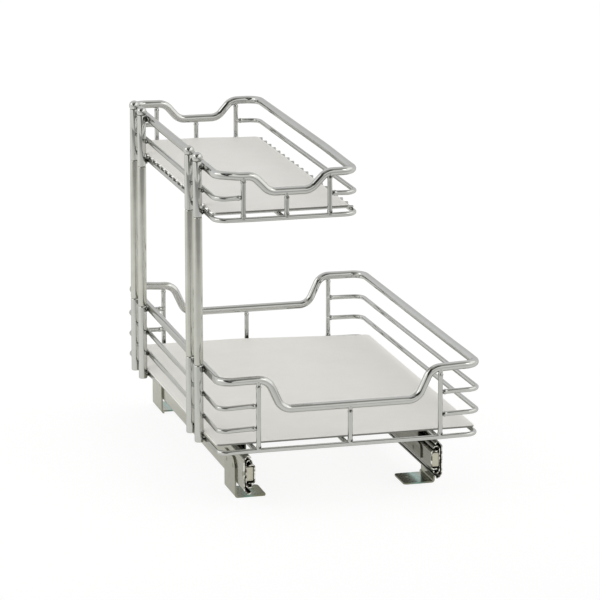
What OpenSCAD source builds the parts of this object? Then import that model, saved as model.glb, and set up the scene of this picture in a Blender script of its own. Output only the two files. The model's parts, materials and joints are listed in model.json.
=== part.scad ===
// Pull-out cabinet organiser: a wide lower wire basket and a narrow upper one
// stand on two three-part ball-bearing slides that screw to the cabinet floor.
// Millimetres, +Z up, the pull side faces -Y.
// The origin is the middle of the four foot screws, on the cabinet floor.

/* [Lower basket] */
// Width of the lower basket between the centre-lines of its rail
lower_w = 284; // [276:2:310]
// Depth of the lower basket between the centre-lines of its rail
lower_d = 440; // [436:2:460]
// Height of the lower rail above the cabinet floor
lower_rail_z = 142.2; // [138.2:1:150.2]
// How far the lower rail drops in the middle of the front and back
lower_dip = 33.6; // [26.6:1:35.6]

/* [Upper basket] */
// Width of the upper basket between the centre-lines of its rail
upper_w = 150; // [146:2:170]
// Depth of the upper basket between the centre-lines of its rail
upper_d = 411; // [405:2:421]
// Height of the upper rail above the cabinet floor
upper_rail_z = 361.4; // [341.4:1:401.4]
// How far the upper rail drops in the middle of the front and back
upper_dip = 19; // [15:1:21]

/* [Wires and posts] */
// Diameter of the two top rails
rail_d = 9; // [8.4:0.1:9.4]
// Diameter of the basket wires
wire_d = 5.2; // [4.8:0.1:5.6]
// Diameter of the thin cross wires under the liners
cross_d = 3; // [2.6:0.1:3.2]
// Diameter of the four posts
post_d = 9.8; // [9.4:0.1:10.2]

/* [Slides] */
// Length of the slides
slide_len = 430; // [420:2:440]
// Number of balls in one row
balls_n = 9; // [5:1:9]

/* [Hidden] */
$fn = 64;
e = 0.5;
corner_r = 15.5;                      // bend of the rails
wire_r = 12.5;                        // bend of the wires
out = (rail_d - wire_d) / 2;         // wires sit flush with the outside of the rail

// lower basket, rail centre-lines
lx0 = -137.5;  lx1 = lx0 + lower_w;
ly0 = -242.5;  ly1 = ly0 + lower_d;
frame_z = 65.3;
lmid_z = [89.8, 114.5];
lup_x = [-98, 3, lx1 - 43];          // uprights in the front and back walls
lcross_z = frame_z + wire_d / 2 + cross_d / 2;
liner_t = 2;

// upper basket, rail centre-lines
ux0 = lx0;     ux1 = ux0 + upper_w;
uy0 = -228;    uy1 = uy0 + upper_d;
uframe_z = upper_rail_z - 48;
umid_z = upper_rail_z - 24.8;
udip_x = [-106.5, ux1 - 26];         // where the rail starts to drop
uup_f = [-110, (ux0 + ux1) / 2 - 0.5, ux1 - 28.5];       // uprights in the front wall
uup_b = [-107.5, (ux0 + ux1) / 2 + 1.7, ux1 - 26];       // and in the back wall
ucross_z = uframe_z + wire_d / 2 + cross_d / 2;

// posts
post_x = lx0 - rail_d / 2 - post_d / 2;
post_y = [-178, -140, 95, 133];
post_z0 = 60.3;
joint_z0 = 145.8;
joint_z1 = upper_rail_z - 53.4;
stub_top = upper_rail_z + 6.6;
bore_d = post_d - 2;
spigot_len = 24;

// slides
sx = 110.8;                          // outer face of the slides
sz = 35.3;                           // middle height of the slides
sy1 = 199.5;                         // rear end
sy0 = sy1 - slide_len;               // front end
out_ball_d = 3.5;
in_ball_d = 3.0;

// feet and hangers
foot_t = 1.8;
foot_y = 175;
screw_x = 88;
screw_d = 5;
rivet_d = 4;
rivet_y = [-13.5, 13.5];
rivet_z = 34.3;
hang_t = 1.5;
hang_rivet_y = [-167.5, -60, 48, 146];
hang_rivet_z = 33.1;
hang_top = frame_z - wire_d / 2 - hang_t;

chrome = [0.78, 0.79, 0.80];
zinc = [0.66, 0.67, 0.66];
steel = [0.55, 0.56, 0.55];
plastic = [0.85, 0.85, 0.83];

// ---------- wire helpers ----------

// straight bar along X
module bar_x(x0, x1, y, z, d) translate([x0, y, z]) rotate([0, 90, 0]) cylinder(h = x1 - x0, d = d);

// straight bar along Y
module bar_y(x, y0, y1, z, d) translate([x, y1, z]) rotate([90, 0, 0]) cylinder(h = y1 - y0, d = d);

// straight bar along Z
module bar_z(x, y, z0, z1, d) translate([x, y, z0]) cylinder(h = z1 - z0, d = d);

// bend lying flat, around c, from angle a0 over sweep s
module flat_bend(c, a0, s, r, d)
    translate(c) rotate([0, 0, a0]) rotate_extrude(angle = s) translate([r, 0]) circle(d = d);

// corner bends and side runs shared by every loop
module loop_sides(x0, x1, y0, y1, z, r, d) {
    bar_y(x0, y0 + r, y1 - r, z, d);
    bar_y(x1, y0 + r, y1 - r, z, d);
    flat_bend([x0 + r, y0 + r, z], 180, 90, r, d);
    flat_bend([x1 - r, y0 + r, z], 270, 90, r, d);
    flat_bend([x1 - r, y1 - r, z], 0, 90, r, d);
    flat_bend([x0 + r, y1 - r, z], 90, 90, r, d);
}

// closed flat loop
module flat_loop(x0, x1, y0, y1, z, r, d) {
    loop_sides(x0, x1, y0, y1, z, r, d);
    bar_x(x0 + r, x1 - r, y0, z, d);
    bar_x(x0 + r, x1 - r, y1, z, d);
}

// S-bend between two level runs: starts level at (x, z), ends level dx further and
// dip lower; s = 1 runs towards +X, s = -1 towards -X
module s_bend(x, y, z, dx, dip, r, d, s) {
    gap = sqrt(dx * dx + pow(dip - 2 * r, 2) - 4 * r * r);
    a = atan2(dip - 2 * r, dx) + atan2(2 * r, gap);
    translate([x, y, z]) mirror([s > 0 ? 1 : 0, 0, 0]) {
        translate([0, 0, -r]) rotate([90, 0, 0]) rotate([0, 0, 90]) rotate_extrude(angle = a) translate([r, 0]) circle(d = d);
        mirror([1, 0, 0]) translate([dx, 0, r - dip]) mirror([1, 0, 0]) rotate([90, 0, 0]) rotate([0, 0, 270]) rotate_extrude(angle = a) translate([r, 0]) circle(d = d);
        translate([-r * sin(a) + 0.6 * cos(a), 0, -r + r * cos(a) + 0.6 * sin(a)]) rotate([0, -90 - a, 0]) cylinder(h = gap + 1.2, d = d - 0.06);
    }
}

// run of rail across one wall that drops by dip between xa and xb
module dipped_run(x0, x1, y, z, d, xa, xb, dx, dip, r) {
    bar_x(x0, xa, y, z, d);
    s_bend(xa, y, z, dx, dip, r, d, 1);
    bar_x(xa + dx, xb - dx, y, z - dip, d);
    s_bend(xb, y, z, dx, dip, r, d, -1);
    bar_x(xb, x1, y, z, d);
}

// wire that hooks round the left side, butted against the uprights at xe = [front, back]
module hook_left(x0, xe, y0, y1, z, r, d) difference() {
    union() {
        bar_y(x0, y0 + r, y1 - r, z, d);
        flat_bend([x0 + r, y0 + r, z], 180, 90, r, d);
        flat_bend([x0 + r, y1 - r, z], 90, 90, r, d);
        bar_x(x0 + r, xe[0], y0, z, d);
        bar_x(x0 + r, xe[1], y1, z, d);
    }
    bar_z(xe[0], y0, z - d, z + d, wire_d + 0.04);
    bar_z(xe[1], y1, z - d, z + d, wire_d + 0.04);
}

// wire that hooks round the right side, butted against the uprights at xe = [front, back]
module hook_right(x1, xe, y0, y1, z, r, d) difference() {
    union() {
        bar_y(x1, y0 + r, y1 - r, z, d);
        flat_bend([x1 - r, y0 + r, z], 270, 90, r, d);
        flat_bend([x1 - r, y1 - r, z], 0, 90, r, d);
        bar_x(xe[0], x1 - r, y0, z, d);
        bar_x(xe[1], x1 - r, y1, z, d);
    }
    bar_z(xe[0], y0, z - d, z + d, wire_d + 0.04);
    bar_z(xe[1], y1, z - d, z + d, wire_d + 0.04);
}

// wire along the depth of a bottom, butted against the frame wire at both ends
module depth_wire(x, y0, y1, z) difference() {
    bar_y(x, y0, y1, z, wire_d);
    for (y = [y0, y1]) bar_x(x - wire_d, x + wire_d, y, z, wire_d + 0.04);
}

// upright between frame wire and rail, both ends shaped to what they are welded to;
// s = 1 or -1 where the rail starts to drop beside it, 0 where the rail is level
module upright(x, y, z0, rail_y, rail_z, s = 0, xs = 0, dx = 36, dip = 30) difference() {
    bar_z(x, y, z0, rail_z - rail_d / 2 + 2.6, wire_d);
    bar_x(x - wire_d, x + wire_d, y, z0, wire_d + 0.04);
    bar_x(x - wire_d, x + wire_d, rail_y, rail_z, rail_d + 0.04);
    if (s != 0) s_bend(xs, rail_y, rail_z, dx, dip, 16, rail_d + 0.08, s);
}

// wall of three uprights of the lower basket
module lower_wall(yw, yr) {
    upright(lup_x[0], yw, frame_z, yr, lower_rail_z, 1, lup_x[0] + 0.5, 36, lower_dip);
    upright(lup_x[1], yw, frame_z, yr, lower_rail_z - lower_dip);
    upright(lup_x[2], yw, frame_z, yr, lower_rail_z, -1, lup_x[2] + 0.5, 36, lower_dip);
}

// wall of three uprights of the upper basket; the rail beside them drops at xd
module upper_wall(xs, xd, yw, yr) {
    upright(xs[0], yw, uframe_z, yr, upper_rail_z, 1, xd[0], 31, upper_dip);
    upright(xs[1], yw, uframe_z, yr, upper_rail_z - upper_dip);
    upright(xs[2], yw, uframe_z, yr, upper_rail_z, -1, xd[1], 31, upper_dip);
}

// liner sheet with rounded corners
module sheet(x0, x1, y0, y1, z, t, r) {
    translate([x0 + r, y0, z]) cube([x1 - x0 - 2 * r, y1 - y0, t]);
    translate([x0, y0 + r, z]) cube([x1 - x0, y1 - y0 - 2 * r, t]);
    for (x = [x0 + r, x1 - r], y = [y0 + r, y1 - r]) translate([x, y, z]) cylinder(r = r, h = t);
}

// ---------- lower basket ----------

module lower_rail() color(chrome) {
    loop_sides(lx0, lx1, ly0, ly1, lower_rail_z, corner_r, rail_d);
    for (y = [ly0, ly1])
        dipped_run(lx0 + corner_r, lx1 - corner_r, y, lower_rail_z, rail_d, lup_x[0] + 0.5, lup_x[2] + 0.5, 36, lower_dip, 16);
}

module lower_side_wires_left() color(chrome)
    for (z = lmid_z) hook_left(lx0 - out, [lup_x[0], lup_x[0]], ly0 - out, ly1 + out, z, wire_r, wire_d);

module lower_side_wires_right() color(chrome)
    for (z = lmid_z) hook_right(lx1 + 0.8, [lup_x[2], lup_x[2]], ly0 - out, ly1 + out, z, wire_r, wire_d);

module lower_frame_wire() color(chrome)
    flat_loop(lx0 - out, lx1 - 0.7, ly0 - out, ly1 + out, frame_z, wire_r, wire_d);

module lower_uprights_front() color(chrome) lower_wall(ly0 - out, ly0);

module lower_uprights_back() color(chrome) lower_wall(ly1 + out, ly1);

module lower_depth_wires() color(chrome)
    for (x = lup_x) depth_wire(x - 3, ly0 - out, ly1 + out, frame_z);

module lower_cross_wires() color(chrome)
    for (i = [0 : 20]) bar_x(lx0 - out - 0.6, lx1 - 0.5, (ly0 + ly1) / 2 - 202 + 20.2 * i, lcross_z, cross_d);

module lower_liner() color(plastic)
    sheet(lx0 - 3.2, lx1 - 1.1, ly0 + 6, ly1 - 22.5, lcross_z + cross_d / 2, liner_t, 5);

// ---------- posts ----------

// post bar with a small bevel at the ends named by b0 (bottom) and b1 (top)
module post_bar(y, z0, z1, b0, b1) {
    bar_z(post_x, y, z0 + b0, z1 - b1, post_d);
    if (b0 > 0) translate([post_x, y, z0]) cylinder(h = b0, d1 = post_d - 2 * b0, d2 = post_d);
    if (b1 > 0) translate([post_x, y, z1 - b1]) cylinder(h = b1, d1 = post_d, d2 = post_d - 2 * b1);
}

// lower ends, welded to the lower basket
module lower_post_stubs() color(chrome) for (y = post_y) difference() {
    post_bar(y, post_z0, joint_z0, 0.4, 0.6);
    bar_z(post_x, y, joint_z0 - spigot_len / 2 - 0.5, joint_z0 + 1, bore_d);
}

// upper ends, welded to the upper basket
module upper_post_stubs() color(chrome) for (y = post_y) difference() {
    post_bar(y, joint_z1, stub_top, 0.6, 0.3);
    bar_z(post_x, y, joint_z1 - 1, joint_z1 + spigot_len / 2 + 0.5, bore_d);
    bar_z(post_x, y, stub_top - 10, stub_top + 1, 5);
}

module post_tube(y) difference() {
    post_bar(y, joint_z0, joint_z1, 0.6, 0.6);
    bar_z(post_x, y, joint_z0 - 1, joint_z1 + 1, bore_d);
}

module post_tube_front_1() color(chrome) post_tube(post_y[0]);
module post_tube_front_2() color(chrome) post_tube(post_y[1]);
module post_tube_rear_1() color(chrome) post_tube(post_y[2]);
module post_tube_rear_2() color(chrome) post_tube(post_y[3]);

module post_spigots() color(steel) for (y = post_y) {
    bar_z(post_x, y, joint_z0 - spigot_len / 2, joint_z0 + spigot_len / 2, bore_d - 0.06);
    bar_z(post_x, y, joint_z1 - spigot_len / 2, joint_z1 + spigot_len / 2, bore_d - 0.06);
}

// ball tops, cut flat just above the post end, with a pin into the post
module finials() color(chrome) for (y = post_y) translate([post_x, y, stub_top]) rotate_extrude() {
    intersection() {
        translate([0, 4.1]) circle(d = 11.6);
        translate([0, 0.3]) square([7, 11]);
    }
    translate([0, -9]) square([2.47, 9.6]);
}

// ---------- upper basket ----------

module upper_rail() color(chrome) {
    loop_sides(ux0, ux1, uy0, uy1, upper_rail_z, corner_r, rail_d);
    for (y = [uy0, uy1])
        dipped_run(ux0 + corner_r, ux1 - corner_r, y, upper_rail_z, rail_d, udip_x[0], udip_x[1], 31, upper_dip, 16);
}

module upper_side_wire_left() color(chrome)
    hook_left(ux0 - out, [uup_f[0], uup_b[0]], uy0 - out, uy1 + out, umid_z, wire_r, wire_d);

module upper_side_wire_right() color(chrome)
    hook_right(ux1 + out, [uup_f[2], uup_b[2]], uy0 - out, uy1 + out, umid_z, wire_r, wire_d);

module upper_frame_wire() color(chrome)
    flat_loop(ux0 - out, ux1 + out, uy0 - out, uy1 + out, uframe_z, wire_r, wire_d);

module upper_uprights_front() color(chrome) upper_wall(uup_f, udip_x, uy0 - out, uy0);

module upper_uprights_back() color(chrome) upper_wall(uup_b, udip_x, uy1 + out, uy1);

module upper_depth_wire() color(chrome)
    depth_wire(uup_f[1] - 3, uy0 - out, uy1 + out, uframe_z);

module upper_cross_wires() color(chrome)
    for (i = [0 : 19]) bar_x(ux0 - out - 0.6, ux1 + out + 0.2, uy0 + 15 + 20.1 * i, ucross_z, cross_d);

module upper_liner() color(plastic)
    sheet(ux0 - 0.5, ux1 - 4.5, uy0 + 7, uy1 - 17, ucross_z + cross_d / 2, liner_t, 4);

// ---------- slides, drawn for the right side and mirrored for the left ----------

module left() mirror([1, 0, 0]) children();

// solid block of a section: u runs inward from the outer face, v up from the middle
module block(u0, u1, v0, v1, y0, y1)
    translate([sx - u1, y0, sz + v0]) cube([u1 - u0, y1 - y0, v1 - v0]);

// block with two long edges rounded on the low-u side
module round_block(u0, u1, v, r, y0, y1) {
    block(u0 + r, u1, -v, v, y0, y1);
    block(u0, u0 + r, -v + r, v - r, y0, y1);
    for (s = [-1, 1]) bar_y(sx - u0 - r, y0, y1, sz + s * (v - r), 2 * r);
}

// channel with lips: web at u0, open towards u1
module channel(u0, u1, v, t, lip, r, y0, y1) difference() {
    round_block(u0, u1, v, r, y0, y1);
    block(u0 + t, u1 - t, -v + t, v - t, y0 - e, y1 + e);
    block(u1 - t - e, u1 + e, -v + lip, v - lip, y0 - e, y1 + e);
}

module cabinet_member() difference() {
    channel(0, 9.6, 21, 1.2, 3.4, 2.2, sy0, sy1);
    for (s = [-1, 1], y = rivet_y) translate([sx + e, s * foot_y + y, rivet_z]) rotate([0, -90, 0]) cylinder(d = rivet_d + 0.1, h = 3);
    translate([sx + e, sy0 + 5, sz]) rotate([0, -90, 0]) cylinder(d = rivet_d + 0.1, h = 3);
}

module middle_member() difference() {
    channel(2.3, 10.4, 15.7, 1.1, 3.4, 1.8, sy0 + 1, sy1 - 1.5);
    translate([sx - 2, sy0 + 7, sz]) rotate([0, -90, 0]) cylinder(d = 5, h = 3);
}

module drawer_member() difference() {
    union() {
        block(4.8, 12.7 - 1.6, -10.9, 10.9, sy0, sy1 - 3);
        block(12.7 - 1.6, 12.7, -9.3, 9.3, sy0, sy1 - 3);
        for (s = [-1, 1]) bar_y(sx - 12.7 + 1.6, sy0, sy1 - 3, sz + s * 9.3, 3.2);
    }
    block(4.8 - e, 11.5, -9.7, 9.7, sy0 - e, sy1);
    for (y = hang_rivet_y) translate([sx - 11, y, hang_rivet_z]) rotate([0, -90, 0]) cylinder(d = rivet_d + 0.1, h = 3);
}

// off-white stop block on the front end of the middle member
module bumper() {
    block(3.45, 11.1, -7.7, 7.7, sy0 + 1.5, sy0 + 13);
    translate([sx - 2.4, sy0 + 7, sz]) rotate([0, -90, 0]) cylinder(d = 4.9, h = 3);
}

// ball cage: web and two strips with holes for the balls
module cage(u0, u1, v, t, ub, hole, y0, y1, pitch) difference() {
    block(u0, u1, -v, v, y0, y1);
    block(u0 + t, u1 + e, -v + t, v - t, y0 - e, y1 + e);
    for (s = [-1, 1], i = [0 : balls_n - 1])
        translate([sx - ub, (y0 + y1) / 2 + pitch * (i - (balls_n - 1) / 2), sz + s * v]) translate([0, 0, -1.5]) cylinder(d = hole, h = 3);
}

module balls(ub, v, d, ym, pitch)
    for (s = [-1, 1], i = [0 : balls_n - 1])
        translate([sx - ub, ym + pitch * (i - (balls_n - 1) / 2), sz + s * v]) sphere(d = d);

module outer_cage() cage(1.5, 7.9, 18, 0.5, 5.3, out_ball_d + 0.3, -110, 95, 23);
module outer_balls() balls(5.3, 17.75, out_ball_d, -7.5, 23);
module inner_cage() cage(3.7, 8.6, 12.95, 0.5, 6.2, in_ball_d + 0.3, -110, 90, 22);
module inner_balls() balls(6.2, 12.7, in_ball_d, -10, 22);

module cabinet_member_right() color(steel) cabinet_member();
module cabinet_member_left() color(steel) left() cabinet_member();
module middle_member_right() color(steel) middle_member();
module middle_member_left() color(steel) left() middle_member();
module drawer_member_right() color(steel) drawer_member();
module drawer_member_left() color(steel) left() drawer_member();
module bumper_right() color(plastic) bumper();
module bumper_left() color(plastic) left() bumper();
module outer_cage_right() color(zinc) outer_cage();
module outer_cage_left() color(zinc) left() outer_cage();
module outer_balls_right() color(chrome) outer_balls();
module outer_balls_left() color(chrome) left() outer_balls();
module inner_cage_right() color(zinc) inner_cage();
module inner_cage_left() color(zinc) left() inner_cage();
module inner_balls_right() color(chrome) inner_balls();
module inner_balls_left() color(chrome) left() inner_balls();

// ---------- feet ----------

// angle bracket: plate on the outside of the slide, foot flange turned inward
// under it; s = -1 for the front bracket, 1 for the rear one
module bracket(s) {
    ro = 3.4;
    xo = sx + foot_t;
    y0 = s * foot_y - 23;
    yf = s < 0 ? y0 : y0 + 7;            // the flange is shorter than the plate
    difference() {
        union() {
            // plate with one rounded top corner
            translate([sx, y0, ro]) cube([foot_t, 46, 31.8 - ro]);
            translate([sx, s < 0 ? y0 + 12 : y0, 31.8 - e]) cube([foot_t, 34, 12 + e]);
            translate([sx, s * (foot_y + 11), 31.8]) rotate([0, 90, 0]) cylinder(r = 12, h = foot_t);
            // bend
            difference() {
                bar_y(xo - ro, y0, y0 + 46, ro, 2 * ro);
                bar_y(xo - ro, y0 - e, y0 + 46 + e, ro, 2 * (ro - foot_t));
                translate([xo - 3 * ro, y0 - e, -e]) cube([2 * ro, 46 + 2 * e, 3 * ro]);
                translate([xo - 3 * ro, y0 - e, ro]) cube([3 * ro, 46 + 2 * e, 2 * ro]);
            }
            // foot flange
            translate([81.5, yf, 0]) cube([xo - ro - 81.5, 39, foot_t]);
            translate([77.5, yf + 4, 0]) cube([10, 31, foot_t]);
            for (y = [yf + 4, yf + 35]) translate([81.5, y, 0]) cylinder(r = 4, h = foot_t);
        }
        translate([screw_x, s * foot_y, -e]) cylinder(d = screw_d, h = foot_t + 2 * e);
        for (y = rivet_y) translate([sx - e, s * foot_y + y, rivet_z]) rotate([0, 90, 0]) cylinder(d = rivet_d + 0.1, h = 3);
    }
}

module bracket_front_right() color(zinc) bracket(-1);
module bracket_front_left() color(zinc) left() bracket(-1);
module bracket_rear_right() color(zinc) bracket(1);
module bracket_rear_left() color(zinc) left() bracket(1);

// rivet along +X: domed head from x = 0 outward, shank of length l behind it
module rivet(l) rotate([0, 90, 0]) rotate_extrude() {
    intersection() {
        translate([0, -6.2]) circle(r = 7);
        square([5, 3]);
    }
    translate([0, -l]) square([rivet_d / 2, l + 0.5]);
}

module side_rivets() {
    for (s = [-1, 1], y = rivet_y) translate([sx + foot_t, s * foot_y + y, rivet_z]) rivet(foot_t + 1.2);
    translate([sx, sy0 + 5, sz]) rivet(1.2);
}

module bracket_rivets() color(zinc) {
    side_rivets();
    left() side_rivets();
}

// ---------- hangers ----------

// angle that carries the basket on the slide's moving member
module hanger() {
    xi = sx - 12.7 - hang_t;
    ro = 2.5;
    y1 = 160;
    difference() {
        union() {
            translate([xi, -185.5, 28.5]) cube([hang_t, y1 + 185.5, hang_top + hang_t - ro - 28.5]);
            translate([xi, -189.5, 28.5]) cube([hang_t, 6, 15.5]);
            translate([xi, -195.5, 28.5]) cube([hang_t, 8, 9.5]);
            translate([xi, -189.5, 38]) rotate([0, 90, 0]) cylinder(r = 6, h = hang_t);
            // bend
            difference() {
                bar_y(xi + ro, -185.5, y1, hang_top + hang_t - ro, 2 * ro);
                bar_y(xi + ro, -185.5 - e, y1 + e, hang_top + hang_t - ro, 2 * (ro - hang_t));
                translate([xi + ro, -185.5 - e, hang_top - 9]) cube([3 * ro, y1 + 185.5 + 2 * e, 15]);
                translate([xi - ro, -185.5 - e, hang_top + hang_t - ro - 9]) cube([4 * ro, y1 + 185.5 + 2 * e, 9]);
            }
            translate([xi + ro, -185.5, hang_top]) cube([12 - ro, y1 + 185.5, hang_t]);
        }
        for (y = hang_rivet_y) translate([xi - e, y, hang_rivet_z]) rotate([0, 90, 0]) cylinder(d = rivet_d + 0.1, h = 3);
    }
}

module hanger_right() color(steel) hanger();
module hanger_left() color(steel) left() hanger();

module hanger_rivet_row()
    for (y = hang_rivet_y) translate([sx - 12.7 - hang_t, y, hang_rivet_z]) mirror([1, 0, 0]) rivet(hang_t + 1.2);

module hanger_rivets() color(steel) {
    hanger_rivet_row();
    left() hanger_rivet_row();
}

bracket_front_left();
bracket_front_right();
bracket_rear_left();
bracket_rear_right();
cabinet_member_left();
cabinet_member_right();
bracket_rivets();
middle_member_left();
middle_member_right();
bumper_left();
bumper_right();
outer_cage_left();
outer_cage_right();
outer_balls_left();
outer_balls_right();
inner_cage_left();
inner_cage_right();
inner_balls_left();
inner_balls_right();
drawer_member_left();
drawer_member_right();
hanger_left();
hanger_right();
hanger_rivets();
lower_rail();
lower_side_wires_left();
lower_side_wires_right();
lower_frame_wire();
lower_uprights_front();
lower_uprights_back();
lower_depth_wires();
lower_cross_wires();
lower_liner();
lower_post_stubs();
post_tube_front_1();
post_tube_front_2();
post_tube_rear_1();
post_tube_rear_2();
post_spigots();
upper_post_stubs();
finials();
upper_rail();
upper_side_wire_left();
upper_side_wire_right();
upper_frame_wire();
upper_uprights_front();
upper_uprights_back();
upper_depth_wire();
upper_cross_wires();
upper_liner();
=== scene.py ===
import json
import math

import bmesh
import bpy
import numpy as np
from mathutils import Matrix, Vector


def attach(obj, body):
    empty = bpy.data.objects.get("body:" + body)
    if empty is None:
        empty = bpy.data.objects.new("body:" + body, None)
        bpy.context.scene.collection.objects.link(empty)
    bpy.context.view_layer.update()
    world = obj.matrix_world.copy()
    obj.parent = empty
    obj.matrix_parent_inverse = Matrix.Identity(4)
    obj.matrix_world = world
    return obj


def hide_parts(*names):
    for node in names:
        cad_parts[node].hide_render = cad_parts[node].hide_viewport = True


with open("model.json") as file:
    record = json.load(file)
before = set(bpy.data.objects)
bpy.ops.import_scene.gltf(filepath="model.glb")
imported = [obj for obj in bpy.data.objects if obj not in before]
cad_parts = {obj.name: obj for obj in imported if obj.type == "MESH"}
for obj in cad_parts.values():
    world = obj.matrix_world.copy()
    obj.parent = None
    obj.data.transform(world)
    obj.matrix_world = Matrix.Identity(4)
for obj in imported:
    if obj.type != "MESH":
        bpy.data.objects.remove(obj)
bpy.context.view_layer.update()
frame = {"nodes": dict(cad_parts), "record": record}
NODES = frame["nodes"]
MM = 0.001
scene = bpy.context.scene

# ------------------------------------------------------------------ sizes (mm)
LX0, LX1, LY0, LY1, LZ = -137.5, 146.5, -242.5, 197.5, 142.2
UX0, UX1, UY0, UY1, UZ = -137.5, 12.5, -228.0, 183.0, 361.4
R_RAIL, R_WIRE, R_CROSS, OUT = 4.5, 2.6, 1.5, 1.9
LDIP, UDIP = 33.6, 19.0
LUP = (-98.0, 3.0, 103.5)
UUPF, UUPB = (-110.0, -63.0, -16.0), (-107.5, -60.8, -13.5)
LDIPX, UDIPX = (-97.5, 104.0), (-106.5, -13.5)
LFRAME, LMID = 65.3, (89.8, 114.5)
UFRAME, UMID = 313.4, 336.6
CORNER, WCORNER = 15.5, 12.5
LSIDE_R, LFRAME_R = LX1 + 0.8, LX1 - 0.7
POST_X, POST_R, POST_Y = -146.9, 4.9, (-178.0, -140.0, 95.0, 133.0)
POST_Z = (60.3, 145.8, 308.0, 368.0)
SX, SZ, SY0, SY1 = 110.8, 35.3, -230.5, 199.5


# ------------------------------------------------------------------ mesh tools
class Mesh:
    def __init__(self):
        self.v, self.f, self.sharp = [], [], []

    def add(self, verts, faces):
        n = len(self.v)
        self.v.extend([tuple(map(float, p)) for p in verts])
        self.f.extend([tuple(i + n for i in q) for q in faces])

    def obj(self, name, mat, body, replaces=(), smooth_angle=None, shade_spots=(), shape=None):
        V = np.array(self.v)
        W = shape(V.copy()) if shape else V
        me = bpy.data.meshes.new(name)
        me.from_pydata((W * MM).tolist(), [], self.f)
        me.validate()
        bm = bmesh.new()
        bm.from_mesh(me)
        bmesh.ops.recalc_face_normals(bm, faces=bm.faces)
        bm.to_mesh(me)
        bm.free()
        me.polygons.foreach_set("use_smooth", [True] * len(me.polygons))
        if smooth_angle is not None:
            me.set_sharp_from_angle(angle=math.radians(smooth_angle))
        if shade_spots:
            # how near each point is to a weld, where the chrome gets painted shade: dark spots in place of contact
            # shadow and dark reflection
            at = me.attributes.new("weld", "FLOAT", "POINT")
            w = np.zeros(len(V))
            for x, y, z, r, k in shade_spots:
                w = np.maximum(w, k * np.exp(-(((V - (x, y, z)) ** 2).sum(1) / r ** 2)))
            at.data.foreach_set("value", w)
        me.materials.append(mat)
        o = bpy.data.objects.new(name, me)
        scene.collection.objects.link(o)
        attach(o, body)
        if replaces:
            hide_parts(*replaces)
        return o


def unit(v):
    return v / np.linalg.norm(v)


def sweep(m, pts, r, seg=24, closed=False, swell0=(), swell1=(), round0=0.5, round1=0.5, clamp=None):
    """Round bar along a polyline, added to mesh m. swell0 and swell1 are weld swells near its two
    ends, each (distance from the end, height, half-width); round0 and round1 soften the ends."""
    P = np.array(pts, float)
    if not closed:
        # extra rings near the ends, so swells and rounded ends have something to bend
        L = np.r_[0, np.cumsum(np.linalg.norm(np.diff(P, axis=0), axis=1))]
        want = list(L)
        for d in (0.12, 0.3, 0.6, 1.0, 1.4, 1.8, 2.2, 2.6, 3.0, 3.4, 3.8, 4.2, 4.6, 5.0, 5.5, 6.0, 6.6, 7.3, 8.2, 9.5, 11.0):
            if d < L[-1] / 2:
                want += [d, L[-1] - d]
        want = np.unique(np.round(want, 5))
        P = np.stack([np.interp(want, L, P[:, k]) for k in range(3)], 1)
    n = len(P)
    if closed:
        T = np.roll(P, -1, 0) - np.roll(P, 1, 0)
    else:
        T = np.vstack([P[1] - P[0], P[2:] - P[:-2], P[-1] - P[-2]])
    T = T / np.linalg.norm(T, axis=1)[:, None]
    a = np.array([0, 0, 1.0]) if abs(T[0][2]) < 0.9 else np.array([1.0, 0, 0])
    U = [unit(a - T[0] * (a @ T[0]))]
    for i in range(1, n):
        u = U[-1] - T[i] * (U[-1] @ T[i])
        U.append(unit(u))
    U = np.array(U)
    V = np.cross(T, U)
    if closed:
        # turn the rings a little each, so the last meets the first
        u = U[-1] - T[0] * (U[-1] @ T[0])
        ang = math.atan2(unit(u) @ V[0], unit(u) @ U[0])
        t = -ang * np.arange(n) / n
        U, V = U * np.cos(t)[:, None] + V * np.sin(t)[:, None], -U * np.sin(t)[:, None] + V * np.cos(t)[:, None]
    if not closed:
        s = np.r_[0, np.cumsum(np.linalg.norm(np.diff(P, axis=0), axis=1))]
        L = s[-1]
        rad = np.full(n, float(r))
        for d, h, w in swell0:
            rad = rad + h * np.exp(-((s - d) / w) ** 2)
        for d, h, w in swell1:
            rad = rad + h * np.exp(-((L - s - d) / w) ** 2)
        if round0:
            rad = rad - round0 * np.clip(1 - s / round0, 0, 1) ** 2 * (s < round0)
        if round1:
            rad = rad - round1 * np.clip(1 - (L - s) / round1, 0, 1) ** 2 * ((L - s) < round1)
    else:
        rad = np.full(n, r)
    a = np.linspace(0, 2 * math.pi, seg, endpoint=False)
    ring = P[:, None, :] + rad[:, None, None] * (np.cos(a)[None, :, None] * U[:, None, :] + np.sin(a)[None, :, None] * V[:, None, :])
    if clamp is not None:
        lo, hi = clamp
        ring = np.clip(ring, lo, hi)
    verts = ring.reshape(-1, 3).tolist()
    faces = []
    for i in range(n if closed else n - 1):
        j = (i + 1) % n
        for k in range(seg):
            q = (k + 1) % seg
            faces.append((i * seg + k, i * seg + q, j * seg + q, j * seg + k))
    if not closed:
        verts += [P[0].tolist(), P[-1].tolist()]
        c0, c1 = len(verts) - 2, len(verts) - 1
        for k in range(seg):
            q = (k + 1) % seg
            faces.append((k, c0, q))
            faces.append(((n - 1) * seg + k, (n - 1) * seg + q, c1))
    m.add(verts, faces)


def arc_flat(cx, cy, z, r, a0, a1, n=14):
    return [(cx + r * math.cos(math.radians(a)), cy + r * math.sin(math.radians(a)), z) for a in np.linspace(a0, a1, n)]


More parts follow.
